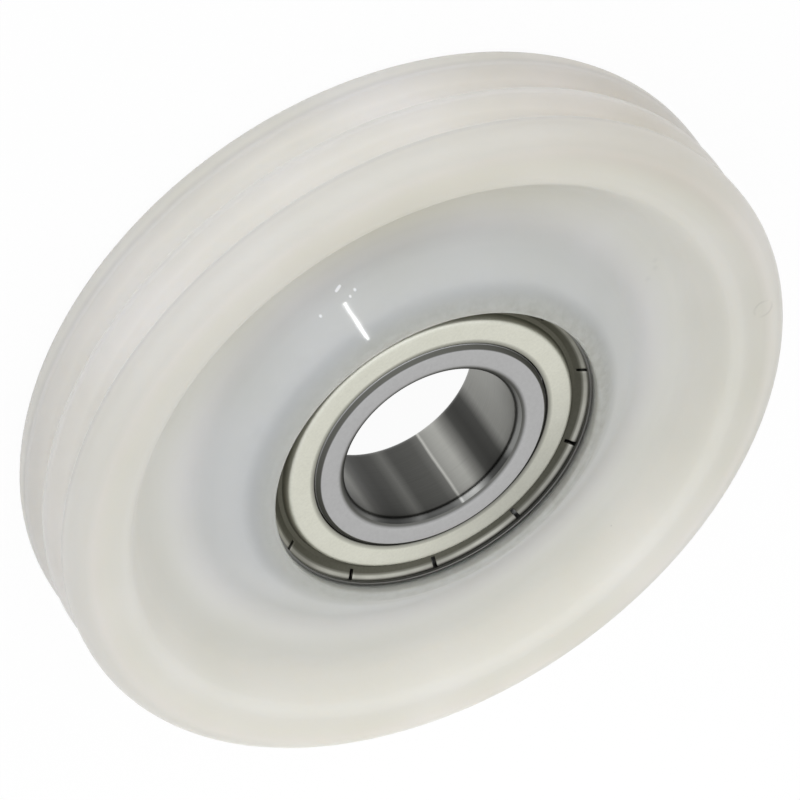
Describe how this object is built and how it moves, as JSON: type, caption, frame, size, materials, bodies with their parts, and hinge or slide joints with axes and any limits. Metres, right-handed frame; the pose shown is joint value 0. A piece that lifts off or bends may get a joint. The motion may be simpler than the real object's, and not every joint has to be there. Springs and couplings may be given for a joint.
{
  "type": "rope pulley",
  "caption": "Grooved nylon rope pulley with dished faces and a shielded ball bearing moulded into its hub, with rings, riveted cage and balls.",
  "frame": {"origin": "centre of the bearing and of the wheel, on the axle's axis", "axes": "+Z along the axle, out of the pictured front face; the pulley lies flat on its rear face, which looks to -Z; X and Y are any two square directions across the wheel"},
  "size_m": [0.0832, 0.0832, 0.0158],
  "materials": {
    "nylon": "natural white moulded nylon, satin",
    "ring_steel": "ground bearing steel",
    "shield_steel": "pressed bright steel sheet",
    "cage_steel": "pressed steel ribbon",
    "ball_steel": "polished bearing balls"
  },
  "bodies": {
    "axle_side": {"inner_ring": "ring_steel"},
    "sheave": {"pulley_wheel": "nylon", "outer_ring": "ring_steel", "front_shield": "shield_steel", "rear_shield": "shield_steel"},
    "cage": {"front_cage": "cage_steel", "rear_cage": "cage_steel", "cage_rivets": "cage_steel"},
    "rolling_ball_1": {"ball_1": "ball_steel"},
    "rolling_ball_2": {"ball_2": "ball_steel"},
    "rolling_ball_3": {"ball_3": "ball_steel"},
    "rolling_ball_4": {"ball_4": "ball_steel"},
    "rolling_ball_5": {"ball_5": "ball_steel"},
    "rolling_ball_6": {"ball_6": "ball_steel"},
    "rolling_ball_7": {"ball_7": "ball_steel"},
    "rolling_ball_8": {"ball_8": "ball_steel"},
    "rolling_ball_9": {"ball_9": "ball_steel"}
  },
  "joints": [
    {"name": "sheave_spin", "type": "hinge", "parent": "axle_side", "child": "sheave", "pos_m": [0, 0, 0], "axis": [0, 0, 1], "continuous": true},
    {"name": "cage_spin", "type": "hinge", "parent": "axle_side", "child": "cage", "pos_m": [0, 0, 0], "axis": [0, 0, 1], "continuous": true},
    {"name": "ball_1_roll", "type": "hinge", "parent": "cage", "child": "rolling_ball_1", "pos_m": [0.0155, 0, 0], "axis": [0, 0, 1], "continuous": true},
    {"name": "ball_2_roll", "type": "hinge", "parent": "cage", "child": "rolling_ball_2", "pos_m": [0.01187, 0.00996, 0], "axis": [0, 0, 1], "continuous": true},
    {"name": "ball_3_roll", "type": "hinge", "parent": "cage", "child": "rolling_ball_3", "pos_m": [0.00269, 0.01526, 0], "axis": [0, 0, 1], "continuous": true},
    {"name": "ball_4_roll", "type": "hinge", "parent": "cage", "child": "rolling_ball_4", "pos_m": [-0.00775, 0.01342, 0], "axis": [0, 0, 1], "continuous": true},
    {"name": "ball_5_roll", "type": "hinge", "parent": "cage", "child": "rolling_ball_5", "pos_m": [-0.01457, 0.0053, 0], "axis": [0, 0, 1], "continuous": true},
    {"name": "ball_6_roll", "type": "hinge", "parent": "cage", "child": "rolling_ball_6", "pos_m": [-0.01457, -0.0053, 0], "axis": [0, 0, 1], "continuous": true},
    {"name": "ball_7_roll", "type": "hinge", "parent": "cage", "child": "rolling_ball_7", "pos_m": [-0.00775, -0.01342, 0], "axis": [0, 0, 1], "continuous": true},
    {"name": "ball_8_roll", "type": "hinge", "parent": "cage", "child": "rolling_ball_8", "pos_m": [0.00269, -0.01526, 0], "axis": [0, 0, 1], "continuous": true},
    {"name": "ball_9_roll", "type": "hinge", "parent": "cage", "child": "rolling_ball_9", "pos_m": [0.01187, -0.00996, 0], "axis": [0, 0, 1], "continuous": true}
  ],
  "couplings": [
    {"joint": "cage_spin", "follows": "sheave_spin", "ratio": 0.60242},
    {"joint": "ball_1_roll", "follows": "sheave_spin", "ratio": 2.3385},
    {"joint": "ball_2_roll", "follows": "sheave_spin", "ratio": 2.3385},
    {"joint": "ball_3_roll", "follows": "sheave_spin", "ratio": 2.3385},
    {"joint": "ball_4_roll", "follows": "sheave_spin", "ratio": 2.3385},
    {"joint": "ball_5_roll", "follows": "sheave_spin", "ratio": 2.3385},
    {"joint": "ball_6_roll", "follows": "sheave_spin", "ratio": 2.3385},
    {"joint": "ball_7_roll", "follows": "sheave_spin", "ratio": 2.3385},
    {"joint": "ball_8_roll", "follows": "sheave_spin", "ratio": 2.3385},
    {"joint": "ball_9_roll", "follows": "sheave_spin", "ratio": 2.3385}
  ]
}
